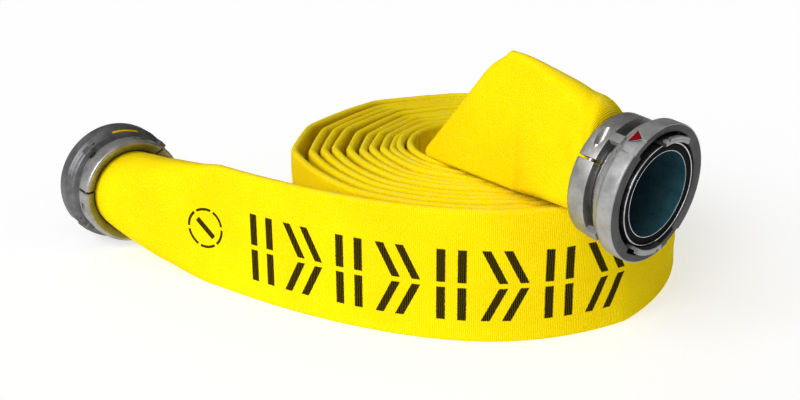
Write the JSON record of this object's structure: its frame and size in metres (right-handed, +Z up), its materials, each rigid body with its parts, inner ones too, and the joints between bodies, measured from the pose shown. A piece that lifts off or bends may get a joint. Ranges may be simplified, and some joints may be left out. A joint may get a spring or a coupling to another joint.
{
  "type": "rolled fire hose",
  "caption": "Yellow lay-flat fire hose rolled on its edge, one end folded over the top and the other trailing, each with a swivelling lug coupling held by a bolted segment collar.",
  "frame": {"origin": "on the floor under the middle of the whole object's box", "axes": "+X from the trailing coupling towards the roll, +Y away from the side where the hose leaves the roll, +Z up, along the roll's axis"},
  "size_m": [0.8384, 0.6238, 0.3436],
  "materials": {
    "hose_weave": "coated woven jacket, matte",
    "cast_aluminium": "grey anodised casting, satin",
    "machined_aluminium": "turned, dark anodised waterway",
    "bolt_steel": "bright zinc",
    "gasket_rubber": "matte black"
  },
  "bodies": {
    "hose": {"hose_roll": "hose_weave", "hose_outer_end": "hose_weave", "hose_inner_fold": "hose_weave", "hose_inner_end": "hose_weave", "outer_tailpiece": "machined_aluminium", "outer_gasket": "gasket_rubber", "outer_snap_ring": "bolt_steel", "outer_collar_segment_1": "cast_aluminium", "outer_collar_segment_2": "cast_aluminium", "outer_collar_segment_3": "cast_aluminium", "outer_collar_bolt_1": "bolt_steel", "outer_collar_bolt_2": "bolt_steel", "outer_collar_bolt_3": "bolt_steel", "inner_tailpiece": "machined_aluminium", "inner_gasket": "gasket_rubber", "inner_snap_ring": "bolt_steel", "inner_collar_segment_1": "cast_aluminium", "inner_collar_segment_2": "cast_aluminium", "inner_collar_segment_3": "cast_aluminium", "inner_collar_bolt_1": "bolt_steel", "inner_collar_bolt_2": "bolt_steel", "inner_collar_bolt_3": "bolt_steel"},
    "outer_head": {"outer_swivel_head": "cast_aluminium"},
    "inner_head": {"inner_swivel_head": "cast_aluminium"}
  },
  "joints": [
    {"name": "outer_head_swivel", "type": "hinge", "parent": "hose", "child": "outer_head", "pos_m": [-0.3546, 0.17133, 0.081], "axis": [-0.5878, 0.809, 0], "continuous": true},
    {"name": "inner_head_swivel", "type": "hinge", "parent": "hose", "child": "inner_head", "pos_m": [0.33002, -0.25652, 0.2175], "axis": [0.6909, -0.7154, -0.1045], "continuous": true}
  ]
}
